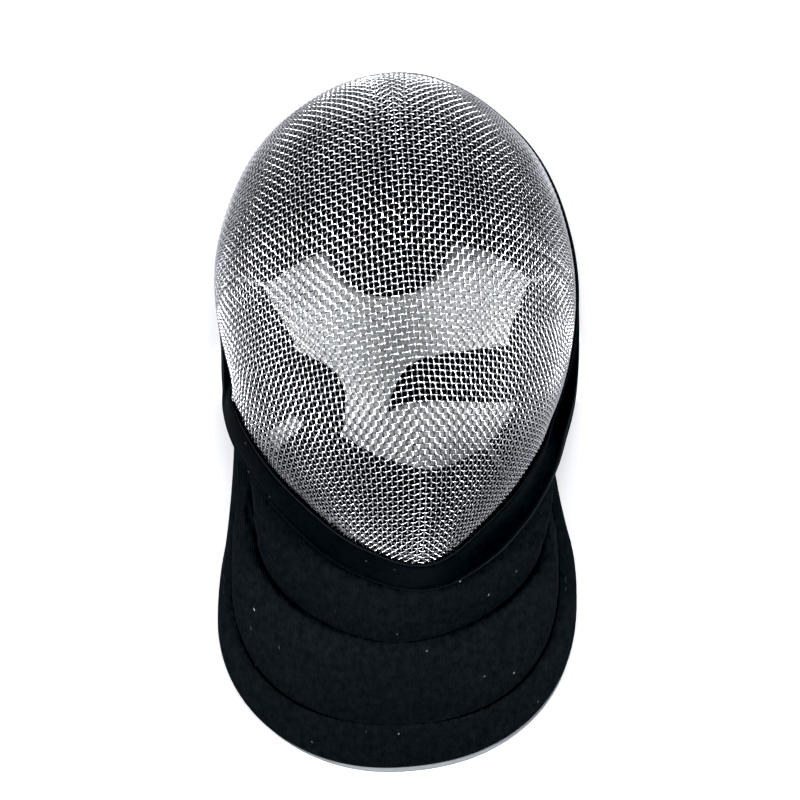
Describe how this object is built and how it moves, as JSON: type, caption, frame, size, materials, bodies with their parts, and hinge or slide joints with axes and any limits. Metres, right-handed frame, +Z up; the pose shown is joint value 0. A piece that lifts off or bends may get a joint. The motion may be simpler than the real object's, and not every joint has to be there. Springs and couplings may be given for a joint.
{
  "type": "fencing mask",
  "caption": "Fencing mask lying face up: woven steel mesh dome, padded trim, folded throat bib, inner pads, back tongue and strap halves.",
  "frame": {"origin": "centre of the bounding box at the surface that the mask lies on", "axes": "+Z up, out of the face; +Y to the crown, -Y to the bib's hem; +X to the right seen from above"},
  "size_m": [0.2124, 0.3993, 0.17],
  "materials": {
    "steel_wire": "bare woven wire",
    "black_knit": "black ribbed knit",
    "grey_lining": "plain grey weave",
    "black_pad": "black brushed cloth over foam",
    "black_webbing": "black elastic webbing"
  },
  "bodies": {
    "root": {"wire_mesh": "steel_wire", "trim": "black_knit", "bib": "black_knit", "bib_lining": "grey_lining", "forehead_pad": "black_pad", "left_side_pad": "black_pad", "right_side_pad": "black_pad", "chin_pad": "black_pad", "back_tongue": "black_knit", "strap_left": "black_webbing", "strap_right": "black_webbing"}
  },
  "joints": []
}
